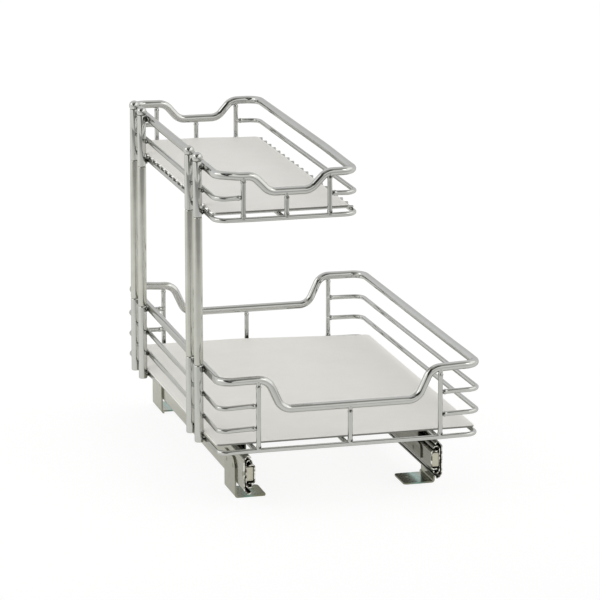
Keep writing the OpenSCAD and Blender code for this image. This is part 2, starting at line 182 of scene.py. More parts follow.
def s_bend(x, y, z, dx, dip, r, s, n=12):
    """Points of an S-bend starting level at (x, z), dx further on (in direction s) and dip lower."""
    gap = math.sqrt(dx * dx + (dip - 2 * r) ** 2 - 4 * r * r)
    a = math.atan2(dip - 2 * r, dx) + math.atan2(2 * r, gap)
    out = []
    for t in np.linspace(0, a, n):
        out.append((x + s * r * math.sin(t), y, z - r + r * math.cos(t)))
    for t in np.linspace(a, 0, n):
        out.append((x + s * (dx - r * math.sin(t)), y, z - dip + r - r * math.cos(t)))
    return out


def dipped(x0, x1, y, z, xa, xb, dx, dip):
    """From x0 to x1 along one wall."""
    return [(x0, y, z)] + s_bend(xa, y, z, dx, dip, 16, 1) + s_bend(xb, y, z, dx, dip, 16, -1)[::-1] + [(x1, y, z)]


def rail_path(x0, x1, y0, y1, z, xa, xb, dx, dip, front=None):
    c = CORNER
    p = []
    p += dipped(x0 + c + 0.3, x1 - c - 0.3, y0, z, xa, xb, dx, front or dip)
    p += arc_flat(x1 - c, y0 + c, z, c, 270, 360)
    p += arc_flat(x1 - c, y1 - c, z, c, 0, 90)
    p += dipped(x0 + c + 0.3, x1 - c - 0.3, y1, z, xa, xb, dx, dip)[::-1]
    p += arc_flat(x0 + c, y1 - c, z, c, 90, 180)
    p += arc_flat(x0 + c, y0 + c, z, c, 180, 270)
    return p


def loop_path(x0, x1, y0, y1, z, c):
    return (
        arc_flat(x1 - c, y0 + c, z, c, 270, 360)
        + arc_flat(x1 - c, y1 - c, z, c, 0, 90)
        + arc_flat(x0 + c, y1 - c, z, c, 90, 180)
        + arc_flat(x0 + c, y0 + c, z, c, 180, 270)
    )


def hook_path(side, x, xf, xb, y0, y1, z, c):
    """From the front upright at xf round the side at x to the back upright at xb."""
    if side < 0:
        return [(xf, y0, z)] + arc_flat(x + c, y0 + c, z, c, 270, 180) + arc_flat(x + c, y1 - c, z, c, 180, 90) + [(xb, y1, z)]
    return [(xf, y0, z)] + arc_flat(x - c, y0 + c, z, c, -90, 0) + arc_flat(x - c, y1 - c, z, c, 0, 90) + [(xb, y1, z)]


def lathe(m, x, y, prof, seg=40):
    """Turned piece round a vertical axis, from (radius, height) points; added to mesh m."""
    a = np.linspace(0, 2 * math.pi, seg, endpoint=False)
    verts, faces, rings = [], [], []
    for r, z in prof:
        if r < 1e-6:
            rings.append([len(verts)])
            verts.append((x, y, z))
        else:
            rings.append(list(range(len(verts), len(verts) + seg)))
            verts += [(x + r * math.cos(t), y + r * math.sin(t), z) for t in a]
    for p, q in zip(rings, rings[1:]):
        for k in range(seg):
            j = (k + 1) % seg
            if len(p) == 1:
                faces.append((p[0], q[j], q[k]))
            elif len(q) == 1:
                faces.append((p[k], p[j], q[0]))
            else:
                faces.append((p[k], p[j], q[j], q[k]))
    m.add(verts, faces)


def bead(m, c, rad, seed):
    """Lumpy weld bead round point c, half-sizes rad; added to mesh m."""
    nu, nv = 18, 10
    verts = [(c[0], c[1], c[2] - rad[2])]
    for i in range(1, nv):
        t = math.pi * i / nv
        for k in range(nu):
            a = 2 * math.pi * k / nu
            q = 1 + 0.10 * math.sin(3 * a + seed) * math.sin(2 * t + seed) + 0.07 * math.sin(5 * a - 1.7 * seed) * math.sin(t)
            verts.append((c[0] + rad[0] * q * math.sin(t) * math.cos(a), c[1] + rad[1] * q * math.sin(t) * math.sin(a), c[2] - rad[2] * q * math.cos(t)))
    verts.append((c[0], c[1], c[2] + rad[2]))
    faces = [(0, 1 + (k + 1) % nu, 1 + k) for k in range(nu)]
    for i in range(nv - 2):
        for k in range(nu):
            j = (k + 1) % nu
            faces.append((1 + i * nu + k, 1 + i * nu + j, 1 + (i + 1) * nu + j, 1 + (i + 1) * nu + k))
    b = 1 + (nv - 2) * nu
    faces += [(b + k, b + (k + 1) % nu, len(verts) - 1) for k in range(nu)]
    m.add(verts, faces)


def ribbon(m, line, t, y0, y1, side, bev=0.18):
    """Rolled sheet section: centre-line of (u, v) points, thickness t, run from y0 to y1 on one slide."""
    P = np.array(line, float)
    T = np.vstack([P[1] - P[0], P[2:] - P[:-2], P[-1] - P[-2]])
    T /= np.linalg.norm(T, axis=1)[:, None]
    N = np.c_[-T[:, 1], T[:, 0]]

    def outline(h, trim):
        Q = P.copy()
        Q[0] += T[0] * trim
        Q[-1] -= T[-1] * trim
        left, right = Q + N * h, Q - N * h
        # rounded ends of the strip
        a, b = Q[-1] + T[-1] * h * 0.7, Q[0] - T[0] * h * 0.7
        return np.vstack([left, [a + N[-1] * h * 0.55, a - N[-1] * h * 0.55], right[::-1], [b - N[0] * h * 0.55, b + N[0] * h * 0.55]])

    full, small = outline(t / 2, t * 0.35), outline(t / 2 - bev, t * 0.35 + bev)
    rings = [(y0, small), (y0 + bev, full), (y1 - bev, full), (y1, small)]
    k = len(full)
    verts = [(side * (SX - u), y, SZ + v) for y, o in rings for u, v in o]
    faces = []
    for i in range(3):
        for q in range(k):
            j = (q + 1) % k
            faces.append((i * k + q, i * k + j, (i + 1) * k + j, (i + 1) * k + q))
    n = len(P)
    for base in (0, 3 * k):
        for q in range(n - 1):
            faces.append((base + q, base + q + 1, base + 2 * n + 1 - (q + 1) , base + 2 * n + 1 - q))
        faces.append((base + n - 1, base + n, base + n + 1, base + n + 2))
        faces.append((base + 2 * n + 1, base + 2 * n + 2, base + 2 * n + 3, base))
    m.add(verts, faces)


# ------------------------------------------------------------------ materials
def material(name):
    m = bpy.data.materials.new(name)
    m.use_nodes = True
    nt = m.node_tree
    b = nt.nodes["Principled BSDF"]
    tc = nt.nodes.new("ShaderNodeTexCoord")
    return m, nt, b, tc.outputs["Object"]


def math_node(nt, op, *args):
    n = nt.nodes.new("ShaderNodeMath")
    n.operation = op
    for i, v in enumerate(args):
        if isinstance(v, (int, float)):
            n.inputs[i].default_value = v
        else:
            nt.links.new(v, n.inputs[i])
    return n.outputs[0]


def mapping(nt, src, scale):
    mp = nt.nodes.new("ShaderNodeMapping")
    mp.inputs["Scale"].default_value = scale
    nt.links.new(src, mp.inputs["Vector"])
    return mp.outputs["Vector"]


def noise(nt, src, scale, detail=3.0, rough=0.5):
    n = nt.nodes.new("ShaderNodeTexNoise")
    n.inputs["Scale"].default_value = scale
    n.inputs["Detail"].default_value = detail
    n.inputs["Roughness"].default_value = rough
    nt.links.new(src, n.inputs["Vector"])
    return n.outputs["Fac"]


def ramp(nt, fac, stops):
    r = nt.nodes.new("ShaderNodeValToRGB")
    e = r.color_ramp.elements
    e[0].position, e[0].color = stops[0][0], (*stops[0][1], 1)
    e[1].position, e[1].color = stops[-1][0], (*stops[-1][1], 1)
    for pos, col in stops[1:-1]:
        x = e.new(pos)
        x.color = (*col, 1)
    nt.links.new(fac, r.inputs["Fac"])
    return r.outputs["Color"]


def maprange(nt, fac, a, b, lo, hi):
    r = nt.nodes.new("ShaderNodeMapRange")
    r.inputs["From Min"].default_value = a
    r.inputs["From Max"].default_value = b
    r.inputs["To Min"].default_value = lo
    r.inputs["To Max"].default_value = hi
    nt.links.new(fac, r.inputs["Value"])
    return r.outputs["Result"]


def bump(nt, fac, strength, dist, normal=None):
    b = nt.nodes.new("ShaderNodeBump")
    b.inputs["Strength"].default_value = strength
    b.inputs["Distance"].default_value = dist
    nt.links.new(fac, b.inputs["Height"])
    if normal is not None:
        nt.links.new(normal, b.inputs["Normal"])
    return b.outputs["Normal"]


def mat_chrome(name, dark, light, r0=0.02, r1=0.06, wave=0.12):
    """Bright plating on drawn wire: near mirror, slow waves from bending and polishing, and painted shade at welds:
    near-black speckles standing in for contact shadow and dark reflection.
    """
    m, nt, b, co = material(name)
    b.inputs["Metallic"].default_value = 1.0
    b.inputs["Specular Tint"].default_value = (0.62, 0.62, 0.60, 1)
    at = nt.nodes.new("ShaderNodeAttribute")
    at.attribute_name = "weld"
    # painted shade: near each weld the wire is speckled near-black, in place of contact shadow and dark reflection
    speck = maprange(nt, noise(nt, co, 480.0, 2), 0.43, 0.51, 0.0, 1.8)
    near = math_node(nt, "MINIMUM", math_node(nt, "MULTIPLY", at.outputs["Fac"], speck), 0.95)
    mix = nt.nodes.new("ShaderNodeMix")
    mix.data_type = "RGBA"
    nt.links.new(near, mix.inputs["Factor"])
    nt.links.new(ramp(nt, noise(nt, co, 55.0, 4), [(0.35, dark), (0.65, light)]), mix.inputs["A"])
    mix.inputs["B"].default_value = (0.03, 0.028, 0.02, 1)
    nt.links.new(mix.outputs["Result"], b.inputs["Base Color"])
    rough = maprange(nt, noise(nt, co, 130.0, 3), 0.3, 0.7, r0, r1)
    nt.links.new(math_node(nt, "ADD", rough, math_node(nt, "MULTIPLY", near, 0.05)), b.inputs["Roughness"])
    slow = bump(nt, noise(nt, co, 45.0, 2), wave, 0.0006)
    nt.links.new(bump(nt, noise(nt, co, 700.0, 2), 0.04, 0.0001, slow), b.inputs["Normal"])
    return m


def mat_brushed(name, stops, scale, r0, r1, streak):
    """Rolled or plated steel: long streaks along Y, cloudy tint."""
    m, nt, b, co = material(name)
    b.inputs["Metallic"].default_value = 1.0
    nt.links.new(ramp(nt, noise(nt, mapping(nt, co, scale), 1.0, 5, 0.6), stops), b.inputs["Base Color"])
    st = noise(nt, mapping(nt, co, streak), 1.0, 3)
    nt.links.new(maprange(nt, st, 0.3, 0.7, r0, r1), b.inputs["Roughness"])
    nt.links.new(bump(nt, st, 0.12, 0.0001), b.inputs["Normal"])
    return m


def mat_plastic(name, dark, light, rough, grain, strength, glow=0.0):
    m, nt, b, co = material(name)
    nt.links.new(ramp(nt, noise(nt, co, 24.0, 5, 0.6), [(0.3, dark), (0.7, light)]), b.inputs["Base Color"])
    nt.links.new(maprange(nt, noise(nt, co, 70.0, 3), 0.3, 0.7, rough - 0.05, rough + 0.05), b.inputs["Roughness"])
    b.inputs["Specular IOR Level"].default_value = 0.35
    if glow:
        # painted light: the sheet glows a little, which evens out its shading, and its front-facing cut edge is painted
        # grey as painted shade
        geo = nt.nodes.new("ShaderNodeNewGeometry")
        gs = nt.nodes.new("ShaderNodeSeparateXYZ")
        nt.links.new(geo.outputs["Normal"], gs.inputs[0])
        face = maprange(nt, gs.outputs["Y"], -0.8, -0.35, 0.0, 1.0)
        body = nt.nodes.new("ShaderNodeMix")
        body.data_type = "RGBA"
        nt.links.new(face, body.inputs["Factor"])
        body.inputs["A"].default_value = (0.20, 0.20, 0.185, 1)
        nt.links.new(ramp(nt, noise(nt, co, 24.0, 5, 0.6), [(0.3, dark), (0.7, light)]), body.inputs["B"])
        nt.links.new(body.outputs["Result"], b.inputs["Base Color"])
        nt.links.new(body.outputs["Result"], b.inputs["Emission Color"])
        b.inputs["Emission Strength"].default_value = glow
    nt.links.new(bump(nt, noise(nt, co, grain, 3, 0.6), strength, 0.0002), b.inputs["Normal"])
    return m


CHROME = mat_chrome("chrome_plated_wire", (0.55, 0.555, 0.54), (0.58, 0.585, 0.57))
POST = mat_chrome("chrome_plated_post", (0.56, 0.57, 0.545), (0.59, 0.60, 0.575), 0.04, 0.09, 0.07)
TUBE = mat_chrome("chrome_plated_tube", (0.535, 0.54, 0.495), (0.59, 0.595, 0.55), 0.05, 0.12, 0.1)
# the liner's last value is painted light: a glow that evens out its shading
LINER = mat_plastic("liner_sheet", (0.705, 0.693, 0.66), (0.725, 0.713, 0.68), 0.5, 1400.0, 0.12, 0.17)


def mat_slide(name):
    """Zinc-plated slide steel: lighter outside, with painted shade inside the channels, where the steel is coloured
    dark as shadow would darken it.
    """
    m, nt, b, co = material(name)
    b.inputs["Metallic"].default_value = 1.0
    sp = nt.nodes.new("ShaderNodeSeparateXYZ")
    nt.links.new(co, sp.inputs[0])
    off = math_node(nt, "ABSOLUTE", sp.outputs["X"])
    # painted shade: the right slide's inner side is coloured darker, as the shaded space under the basket that it
    # reflects would make it
    inner = math_node(nt, "MULTIPLY", maprange(nt, off, 0.0987, 0.0984, 0.0, 1.0), maprange(nt, sp.outputs["X"], -0.01, 0.01, 1.0, 0.3))
    unshaded = math_node(nt, "ADD", maprange(nt, off, 0.1097, 0.1100, 0.0, 1.0), inner)
    cloud = noise(nt, mapping(nt, co, (50, 6, 50)), 1.0, 5, 0.6)
    mix = nt.nodes.new("ShaderNodeMix")
    mix.data_type = "RGBA"
    nt.links.new(unshaded, mix.inputs["Factor"])
    # painted shade: this dark colour is used wherever the mask does not lift it
    nt.links.new(ramp(nt, cloud, [(0.3, (0.085, 0.085, 0.064)), (0.7, (0.14, 0.14, 0.108))]), mix.inputs["A"])
    nt.links.new(ramp(nt, cloud, [(0.3, (0.31, 0.31, 0.255)), (0.7, (0.36, 0.36, 0.30))]), mix.inputs["B"])
    # painted highlight: bright broken lines on the front ends, where the cut edges catch the light
    front_highlight = nt.nodes.new("ShaderNodeMix")
    front_highlight.data_type = "RGBA"
    front = maprange(nt, sp.outputs["Y"], -0.2293, -0.2290, 1.0, 0.0)
    nt.links.new(math_node(nt, "MULTIPLY", front, maprange(nt, noise(nt, co, 330.0, 2), 0.44, 0.54, 0.0, 1.0)), front_highlight.inputs["Factor"])
    nt.links.new(mix.outputs["Result"], front_highlight.inputs["A"])
    nt.links.new(ramp(nt, cloud, [(0.3, (0.74, 0.74, 0.68)), (0.7, (0.90, 0.90, 0.85))]), front_highlight.inputs["B"])
    nt.links.new(front_highlight.outputs["Result"], b.inputs["Base Color"])
    st = noise(nt, mapping(nt, co, (900, 12, 900)), 1.0, 3)
    nt.links.new(maprange(nt, st, 0.3, 0.7, 0.14, 0.26), b.inputs["Roughness"])
    nt.links.new(bump(nt, st, 0.12, 0.0001), b.inputs["Normal"])
    return m


SLIDE = mat_slide("slide_steel")
# painted shade: the hanger steel is coloured very dark, as the shade under the basket darkens it
HANGER = mat_brushed("hanger_steel", [(0.3, (0.115, 0.115, 0.086)), (0.7, (0.145, 0.145, 0.11))], (40, 8, 40), 0.26, 0.40, (700, 14, 700))


def mat_foot(name):
    """Bright zinc with the thin rainbow cast of its passivation, which changes slowly across the piece."""
    m, nt, b, co = material(name)
    b.inputs["Metallic"].default_value = 1.0
    sp = nt.nodes.new("ShaderNodeSeparateXYZ")
    nt.links.new(co, sp.inputs[0])
    across = maprange(nt, math_node(nt, "ABSOLUTE", sp.outputs["X"]), 0.076, 0.1126, 0.0, 1.0)
    drift = maprange(nt, noise(nt, co, 32.0, 3), 0.2, 0.8, -0.16, 0.16)
    tint = ramp(nt, math_node(nt, "ADD", across, drift), [
        (0.0, (0.21, 0.21, 0.15)), (0.22, (0.24, 0.25, 0.18)), (0.40, (0.29, 0.36, 0.30)), (0.52, (0.24, 0.38, 0.33)),
        (0.64, (0.18, 0.29, 0.24)), (0.80, (0.23, 0.25, 0.20)), (1.0, (0.295, 0.295, 0.235))])
    nt.links.new(tint, b.inputs["Base Color"])
    fine = noise(nt, mapping(nt, co, (300, 300, 300)), 1.0, 3)
    nt.links.new(maprange(nt, fine, 0.3, 0.7, 0.14, 0.26), b.inputs["Roughness"])
    nt.links.new(bump(nt, fine, 0.12, 0.0001), b.inputs["Normal"])
    return m


ZINC = mat_foot("foot_zinc")
CAGE = mat_brushed("cage_steel", [(0.3, (0.42, 0.42, 0.40)), (0.7, (0.52, 0.52, 0.50))], (80, 20, 80), 0.25, 0.4, (500, 30, 500))
BALL = mat_chrome("ball_steel", (0.60, 0.60, 0.60), (0.68, 0.68, 0.68), 0.04, 0.09)
BUMPER = mat_plastic("bumper_plastic", (0.60, 0.585, 0.475), (0.68, 0.665, 0.55), 0.45, 900.0, 0.1)

BY_SLOT = {
    "chrome_wire": CHROME, "liner_plastic": LINER, "slide_steel": SLIDE, "foot_zinc": ZINC,
    "cage_steel": CAGE, "ball_steel": BALL, "bumper_plastic": BUMPER,
}
slots = {s["node"]: s["material_slot"] for s in frame["record"]["subparts"]}
for n, o in NODES.items():
    mat = HANGER if n.startswith("hanger") else BY_SLOT[slots[n]]
    if not o.material_slots:
        o.data.materials.append(mat)
    for s in o.material_slots:
        s.material = mat

# ------------------------------------------------------------------ baskets
EPS = -0.01
LCLAMP = (np.array([LX0 - R_RAIL - EPS, LY0 - R_RAIL - EPS, -1e9]), np.array([LX1 + R_RAIL + EPS, LY1 + R_RAIL + EPS, 1e9]))
UCLAMP = (np.array([UX0 - R_RAIL - EPS, UY0 - R_RAIL - EPS, -1e9]), np.array([UX1 + R_RAIL + EPS, UY1 + R_RAIL + EPS, 1e9]))


LWY, UWY = (LY0 - OUT, LY1 + OUT), (UY0 - OUT, UY1 + OUT)
LC, UC = LFRAME + R_WIRE + R_CROSS, UFRAME + R_WIRE + R_CROSS

# places that get painted shade on the chrome: posts welded to the left side, side wires and uprights
SHADE_SPOTS = []
for y in POST_Y:
    for z in (LZ, LMID[0], LMID[1], LFRAME, UZ, UMID, UFRAME):
        for d in (-3.4, 3.4):
            SHADE_SPOTS.append((POST_X + POST_R + 0.6, y + d, z, 2.3, 1.25))
        SHADE_SPOTS.append((LX0 - OUT - 1.2, y - 6.6, z + 0.4, 2.6, 1.05))
# the feet of the rear uprights, where they pass behind the liner
for x, z in ((LUP[0], 74.2), (LUP[1], 73.6), (LUP[2], 69.8)):
    SHADE_SPOTS.append((x, LWY[1] - 2.4, z, 1.8, 1.3))
for k, sgn in ((0, 1), (1, -1)):
    for xs, tops, z0, mids, yw in ((LUP, (LZ, LZ - LDIP, LZ), LFRAME, LMID, LWY[k]), ((UUPF, UUPB)[k], (UZ, UZ - UDIP, UZ), UFRAME, (UMID,), UWY[k])):
        for i, (x, zt) in enumerate(zip(xs, tops)):
            SHADE_SPOTS.append((x, yw - sgn * 2.4, zt - R_RAIL - 2.0, 1.5, 0.9))
            SHADE_SPOTS.append((x + 1.0, yw - sgn * 2.4, z0 + R_WIRE + 0.9, 1.3, 0.85))
            if i != 1:
                out_x = -1 if i == 0 else 1
                for z in mids:
                    SHADE_SPOTS.append((x + out_x * 2.6, yw - sgn * 1.6, z + 0.9, 1.5, 0.95))


def wire_piece(name, node, paths, r, seg=28, closed=False, clamp=None, shape=None, **kw):
    m = Mesh()
    for p in paths:
        sweep(m, p, r, seg, closed, **kw)

    def fit(V):
        V = shape(V) if shape else V
        return np.clip(V, *clamp) if clamp else V

    return m.obj(name, CHROME, "drawer", [node], shade_spots=SHADE_SPOTS, shape=fit)


def step01(t):
    t = np.clip(t, 0, 1)
    return t * t * (3 - 2 * t)


# The real baskets are welded by hand and sit a millimetre or two out of true, as the photo shows:
# these move the wires by that much.
def lower_set(front_x, mid_x, front_z, taper, corner_z, right_x=0.0, back_left_z=0.0):
    def f(V):
        x, y, z = V.T.copy()
        left = step01((-108 - x) / 26)
        t1, t2 = step01((-60 - y) / 100), step01((90 - y) / 190)
        back = np.clip((y + 120) / 300, 0, 1.08)
        V[:, 0] += left * (front_x * t1 + mid_x * t2 * (1 - t1)) - taper * back * (x + 147) / 293 + right_x * step01((x - 110) / 30)
        V[:, 2] += left * front_z * t1 + corner_z * step01((x - 100) / 30) * step01((-120 - y) / 95)
        V[:, 2] += back_left_z * step01((-100 - x) / 22) * step01((y - 110) / 60) - 0.4 * back * step01((x - 90) / 40)
        return V
    return f


def lower_frame_set(V):
    """As the rails, and bowed in and up between the posts."""
    x, y = V[:, 0].copy(), V[:, 1].copy()
    V = lower_set(-2.4, 0, -0.5, 0, 0.4, -0.4)(V)
    mid = step01((-108 - x) / 26) * step01((88 - y) / 50) * step01((y + 140) / 50)
    V[:, 0] += 3.0 * mid
    V[:, 2] += 1.4 * mid
    return V


def upper_set(left_x, left_z, front_z=0.0, sag=0.0, right_x=0.0):
    def f(V):
        x, y, z = V.T.copy()
        left = step01((-98 - x) / 34)
        mid = step01((y + 165) / 80)
        V[:, 0] += left * left_x * mid + right_x * step01((x + 10) / 22)
        V[:, 2] += left * (left_z * mid * (1 - 0.6 * step01((y - 120) / 60)) + front_z * (1 - mid))
        V[:, 2] -= sag * step01((x + 130) / 18) * step01((-90 - y) / 130)
        return V
    return f


def floor_set(V):
    """The upper floor rises a little towards the posts, most at the back."""
    x, y = V[:, 0].copy(), V[:, 1].copy()
    V[:, 2] += 1.9 * step01((5 - x) / 75) * step01((y + 190) / 210)
    return V


def lean(V):
    """The rear posts lean in by a millimetre or so towards their tops."""
    V[:, 0] += np.where(V[:, 1] > 0, 1.4 * np.clip((V[:, 2] - 120) / 248, 0, 1.1), 0)
    return V


def dense(pts, step=6.0):
    """Extra points on long straight stretches."""
    out = []
    n = len(pts)
    for i in range(n):
        a, b = np.array(pts[i], float), np.array(pts[(i + 1) % n], float)
        k = max(1, int(np.linalg.norm(b - a) // step))
        out += [tuple(a + (b - a) * j / k) for j in range(k)]
    return out


wire_piece("lower_rail_bar", "lower_rail", [dense(rail_path(LX0, LX1, LY0, LY1, LZ, *LDIPX, 36, LDIP))], R_RAIL, 48, True, LCLAMP, lower_set(-1.8, -1.0, -0.5, 2.2, 1.0, 0, 1.2))
wire_piece("upper_rail_bar", "upper_rail", [dense(rail_path(UX0, UX1, UY0, UY1, UZ, UDIPX[0] + 1, UDIPX[1] + 1, 31, UDIP, 18.0))], R_RAIL, 48, True, UCLAMP, upper_set(0.6, 1.3, 0.0, 1.7))
wire_piece("lower_frame_bar", "lower_frame_wire", [dense(loop_path(LX0 - OUT, LFRAME_R, *LWY, LFRAME, WCORNER))], R_WIRE, 32, True, LCLAMP, lower_frame_set)
wire_piece("upper_frame_bar", "upper_frame_wire", [dense(loop_path(UX0 - OUT, UX1 + OUT, *UWY, UFRAME, WCORNER))], R_WIRE, 32, True, UCLAMP, upper_set(1.5, 1.9, 0.4, 0, -0.8))

# side wires: the pressed weld squeezes a swell out a few millimetres before each upright
BUTT = dict(swell0=[(5.3, 0.5, 1.1), (2.6, -0.25, 1.0)], swell1=[(5.3, 0.5, 1.1), (2.6, -0.25, 1.0)], round0=0, round1=0)


def hooks(side, x, xf, xb, ys, zs):
    paths = []
    for z in zs:
        p = hook_path(side, x, xf, xb, *ys, z, WCORNER)
        # the ends are pushed in a touch where the electrodes press them on the uprights
        up = -0.4 if side < 0 and z < 200 else 0.5
        p[0] = (p[0][0], p[0][1] + 1.0, p[0][2] + up)
        p[-1] = (p[-1][0], p[-1][1] - 1.0, p[-1][2] + up)
        paths.append(p)
    return paths


wire_piece("lower_left_hooks", "lower_side_wires_left", hooks(-1, LX0 - OUT, LUP[0], LUP[0], LWY, LMID), R_WIRE, 32, clamp=LCLAMP, shape=lower_set(-2.8, -0.9, -0.9, 0, 0), **BUTT)
wire_piece("lower_right_hooks", "lower_side_wires_right", hooks(1, LSIDE_R, LUP[2], LUP[2], LWY, LMID), R_WIRE, 32, clamp=LCLAMP, shape=lower_set(0, 0, 0, 3.4, 1.3), **BUTT)
wire_piece("upper_left_hook", "upper_side_wire_left", hooks(-1, UX0 - OUT, UUPF[0], UUPB[0], UWY, (UMID,)), R_WIRE, 32, clamp=UCLAMP, shape=upper_set(1.4, 1.6, 0.4), **BUTT)
wire_piece("upper_right_hook", "upper_side_wire_right", hooks(1, UX1 + OUT, UUPF[2], UUPB[2], UWY, (UMID,)), R_WIRE, 32, clamp=UCLAMP, shape=upper_set(0, 0, 0, 0, -0.8), **BUTT)

# uprights: a swell under the rail and one above the frame wire
UPK = dict(swell0=[(0, 0.3, 2.6), (4.0, 0.42, 1.0)], swell1=[(5.6, 0.45, 1.1), (3.6, -0.2, 0.8)], round0=0, round1=0)
for tag, k in (("front", 0), ("back", 1)):
    wire_piece(f"lower_{tag}_uprights", f"lower_uprights_{tag}",
               [[(x, LWY[k], LFRAME), (x, LWY[k], LZ - drop - 1.9)] for x, drop in zip(LUP, (0, LDIP, 0))], R_WIRE, 32, clamp=LCLAMP, shape=lower_set(0, 0, 0, 1.3, 0), **UPK)
    wire_piece(f"upper_{tag}_uprights", f"upper_uprights_{tag}",
               [[(x, UWY[k], UFRAME), (x, UWY[k], UZ - drop - 1.9)] for x, drop in zip((UUPF, UUPB)[k], (0, UDIP, 0))], R_WIRE, 32, clamp=UCLAMP, **UPK)

DEP = dict(swell0=[(0, 0.3, 3.0)], swell1=[(0, 0.3, 3.0)], round0=0, round1=0)
wire_piece("lower_depth_bars", "lower_depth_wires", [[(x - 3, LWY[0] + 0.5, LFRAME), (x - 3, LWY[1] - 0.5, LFRAME)] for x in LUP], R_WIRE, clamp=LCLAMP, **DEP)
wire_piece("upper_depth_bar", "upper_depth_wire", [[(UUPF[1] - 3, UWY[0] + 0.5, UFRAME), (UUPF[1] - 3, UWY[1] - 0.5, UFRAME)]], R_WIRE, clamp=UCLAMP, **DEP)
wire_piece("lower_cross_bars", "lower_cross_wires", [[(LX0 - OUT - 0.6, (LY0 + LY1) / 2 - 202 + 20.2 * i, LC), (LX1 - 0.5, (LY0 + LY1) / 2 - 202 + 20.2 * i, LC)] for i in range(21)], R_CROSS, 20, round0=0.6, round1=0.6)
wire_piece("upper_cross_bars", "upper_cross_wires", [[(UX0 - OUT - 0.6, UY0 + 15 + 20.1 * i, UC), (UX1 + OUT + 0.2, UY0 + 15 + 20.1 * i, UC)] for i in range(20)], R_CROSS, 20, shape=floor_set, round0=0.6, round1=0.6)

# ------------------------------------------------------------------ posts
def end_up(z, r=POST_R):
    """Rounded upper end of a post section, as (radius, height) points."""
    return [(r, z - 1.5), (r - 0.06, z - 1.0), (r - 0.28, z - 0.5), (r - 0.65, z - 0.16), (r - 1.2, z), (0, z)]


def end_down(z, r=POST_R):
    return [(a, 2 * z - b) for a, b in end_up(z, r)][::-1]


m = Mesh()
seed = 0.0
for y in POST_Y:
    lathe(m, POST_X, y, end_down(POST_Z[0]) + end_up(POST_Z[1]), 48)
    for z in (LZ, LMID[1], LMID[0], LFRAME):
        seed += 1.3
        for d, h, q in ((-3.3, 0.8, 1.0), (-2.2, -1.4, 0.8), (3.2, 0.9, 1.0), (2.3, -1.3, 0.8)):
            bead(m, (POST_X + POST_R + 0.2, y + d, z + h), (1.5 * q, 1.35 * q, 1.6 * q), seed + d)
m.obj("lower_post_sockets", POST, "drawer", ["lower_post_stubs"], 40, SHADE_SPOTS, lean)
m = Mesh()
for y in POST_Y:
    z = POST_Z[3] - (1.3 if y > 0 else 0)
    lathe(m, POST_X, y, end_down(POST_Z[2]) + [(POST_R, z - 0.5), (POST_R - 0.12, z - 0.18), (POST_R - 0.4, z), (0, z)], 48)
    for z in (UZ, UMID, UFRAME):
        seed += 1.3
        for d, h, q in ((-3.3, 0.8, 1.0), (-2.2, -1.4, 0.8), (3.2, 0.9, 1.0), (2.3, -1.3, 0.8)):
            bead(m, (POST_X + POST_R + 0.2, y + d, z + h), (1.5 * q, 1.35 * q, 1.6 * q), seed + d)
m.obj("upper_post_sockets", POST, "drawer", ["upper_post_stubs"], 40, SHADE_SPOTS, lean)
for node, y in zip(("post_tube_front_1", "post_tube_front_2", "post_tube_rear_1", "post_tube_rear_2"), POST_Y):
    m = Mesh()
    lathe(m, POST_X, y, end_down(POST_Z[1]) + end_up(POST_Z[2]), 48)
    m.obj(node + "_turned", TUBE, "drawer", [node], 40, shape=lean)
m = Mesh()
for y in POST_Y:
    top = POST_Z[3] - (1.3 if y > 0 else 0)
    z0, zc, r = top + 0.3, top + 4.1, 5.77
    t0 = math.asin((z0 - zc) / r)
    prof = [(0, z0), (r * math.cos(t0) - 0.25, z0)] + [(r * math.cos(t), zc + r * math.sin(t)) for t in np.linspace(t0 + 0.05, math.pi / 2, 22)]
    prof[-1] = (0, zc + r)
    lathe(m, POST_X, y, prof, 48)
m.obj("finial_balls", CHROME, "drawer", ["finials"], 50, shape=lean)


# ------------------------------------------------------------------ slides
def arc_uv(cu, cv, r, a0, a1, n=9):
    return [(cu + r * math.cos(math.radians(a)), cv + r * math.sin(math.radians(a))) for a in np.linspace(a0, a1, n)]


def both(half):
    """Full section from its upper half, which starts at the middle of the web."""
    return [(u, -v) for u, v in half[::-1]] + half[1:] if half[0][1] == 0 else [(u, -v) for u, v in half[::-1]] + half


OUTER = [(0.6, 0), (0.6, 9), (0.6, 15.2)] + arc_uv(2.4, 15.2, 1.8, 180, 128, 5)[1:] + [(2.35, 18.0), (3.0, 19.0)] + arc_uv(5.3, 17.75, 2.55, 140, 12, 13) + [(7.72, 17.6)]
MIDDLE = [(2.85, 0), (2.85, 6), (2.85, 12.2)] + arc_uv(4.3, 12.2, 1.45, 180, 115, 5)[1:] + [(4.3, 14.3), (4.7, 14.85), (5.6, 15.1), (6.6, 15.1)] + arc_uv(7.5, 13.5, 1.62, 100, 10, 9) + [(9.15, 13.0), (9.6, 12.2)]
INNER = [(12.0, 0), (12.0, 5), (12.0, 8.0)] + arc_uv(10.2, 8.0, 1.8, 0, 60, 6)[1:] + [(10.4, 10.05), (9.4, 10.3), (8.2, 10.2), (7.2, 9.85), (6.2, 9.75), (5.5, 10.1)]
for side, tag, mid in ((-1, "left", "middle_left"), (1, "right", "middle_right")):
    for name, node, body, line, t, y0, y1 in (
        ("outer_rail_", "cabinet_member_", "cabinet_side", OUTER, 1.2, SY0, SY1),
        ("middle_rail_", "middle_member_", mid, MIDDLE, 1.1, SY0 + 1, SY1 - 1.5),
        ("drawer_rail_", "drawer_member_", "drawer", INNER, 1.4, SY0, SY1 - 3),
    ):
        m = Mesh()
        # the left rail's lower lip sits a little lower
        sec = both(line)
        if line is OUTER and side < 0:
            sec = [(u, v - (1.4 if v < -12 else 0)) for u, v in sec]
        ribbon(m, sec, t, y0 + 0.02, y1 - 0.02, side)
        m.obj(name + tag, SLIDE, body, [node + tag], 35)

